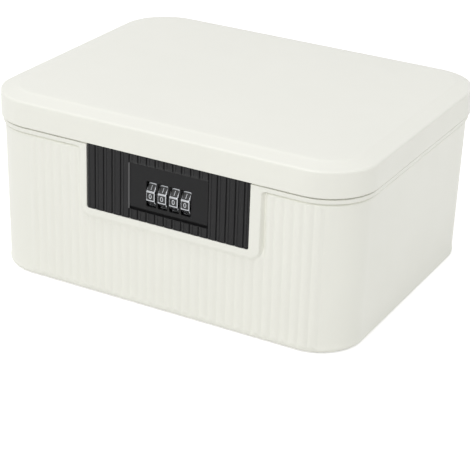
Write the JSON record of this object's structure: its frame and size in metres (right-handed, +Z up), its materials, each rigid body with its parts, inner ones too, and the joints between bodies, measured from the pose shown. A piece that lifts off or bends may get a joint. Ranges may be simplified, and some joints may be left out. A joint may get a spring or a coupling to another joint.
{
  "type": "lockable medicine box",
  "caption": "Rounded plastic box with a hinged lid, lift-out tray and a combination lock panel in its ribbed front.",
  "frame": {"origin": "on the surface it stands on, under the middle of the whole box", "axes": "+X to the right along the width, -Y out of the lock front, +Z up"},
  "size_m": [0.27, 0.2186, 0.1285],
  "materials": {
    "case_ivory": "satin",
    "tray_white": "satin",
    "lock_black": "satin",
    "wheel_metal": "satin",
    "zinc": "matte",
    "steel": "bright",
    "acetal_white": "gloss",
    "foot_rubber": "matte"
  },
  "bodies": {
    "box": {"box_body": "case_ivory", "lock_panel": "lock_black", "lock_housing": "lock_black", "housing_cover": "lock_black", "wheel_shaft": "steel", "detent_spring": "steel", "hinge_pin_left": "steel", "hinge_pin_right": "steel", "housing_screw_1": "steel", "housing_screw_2": "steel", "housing_screw_3": "steel", "housing_screw_4": "steel", "foot_pad_front_left": "foot_rubber", "foot_pad_front_right": "foot_rubber", "foot_pad_rear_left": "foot_rubber", "foot_pad_rear_right": "foot_rubber"},
    "lid": {"lid_shell": "case_ivory", "lid_strike": "lock_black", "strike_screw_1": "steel", "strike_screw_2": "steel"},
    "tray": {"tray": "tray_white"},
    "release": {"release_plate": "lock_black", "fence_bar": "zinc"},
    "bolt": {"latch_bolt": "zinc", "bolt_spring": "steel"},
    "reset": {"reset_button": "acetal_white"},
    "wheel_1": {"number_wheel_1": "wheel_metal", "code_sleeve_1": "acetal_white"},
    "wheel_2": {"number_wheel_2": "wheel_metal", "code_sleeve_2": "acetal_white"},
    "wheel_3": {"number_wheel_3": "wheel_metal", "code_sleeve_3": "acetal_white"},
    "wheel_4": {"number_wheel_4": "wheel_metal", "code_sleeve_4": "acetal_white"}
  },
  "joints": [
    {"name": "lid_hinge", "type": "hinge", "parent": "box", "child": "lid", "pos_m": [0, 0.1057, 0.1035], "axis": [-1, 0, 0], "range_deg": [0, 100]},
    {"name": "tray_lift", "type": "slide", "parent": "box", "child": "tray", "axis": [0, 0, 1], "range_m": [0, 0.012]},
    {"name": "release_slide", "type": "slide", "parent": "box", "child": "release", "axis": [0, 0, -1], "range_m": [0, 0.0015]},
    {"name": "bolt_slide", "type": "slide", "parent": "box", "child": "bolt", "axis": [1, 0, 0], "range_m": [0, 0.003]},
    {"name": "reset_press", "type": "slide", "parent": "box", "child": "reset", "axis": [0, -1, 0], "range_m": [0, 0.0014], "stiffness_N_per_m": 150},
    {"name": "wheel_1_spin", "type": "hinge", "parent": "box", "child": "wheel_1", "pos_m": [-0.0046, -0.099, 0.0813], "axis": [1, 0, 0], "continuous": true},
    {"name": "wheel_2_spin", "type": "hinge", "parent": "box", "child": "wheel_2", "pos_m": [0.0038, -0.099, 0.0813], "axis": [1, 0, 0], "continuous": true},
    {"name": "wheel_3_spin", "type": "hinge", "parent": "box", "child": "wheel_3", "pos_m": [0.0122, -0.099, 0.0813], "axis": [1, 0, 0], "continuous": true},
    {"name": "wheel_4_spin", "type": "hinge", "parent": "box", "child": "wheel_4", "pos_m": [0.0206, -0.099, 0.0813], "axis": [1, 0, 0], "continuous": true}
  ],
  "couplings": [
    {"joint": "bolt_slide", "follows": "release_slide", "ratio": 2}
  ]
}
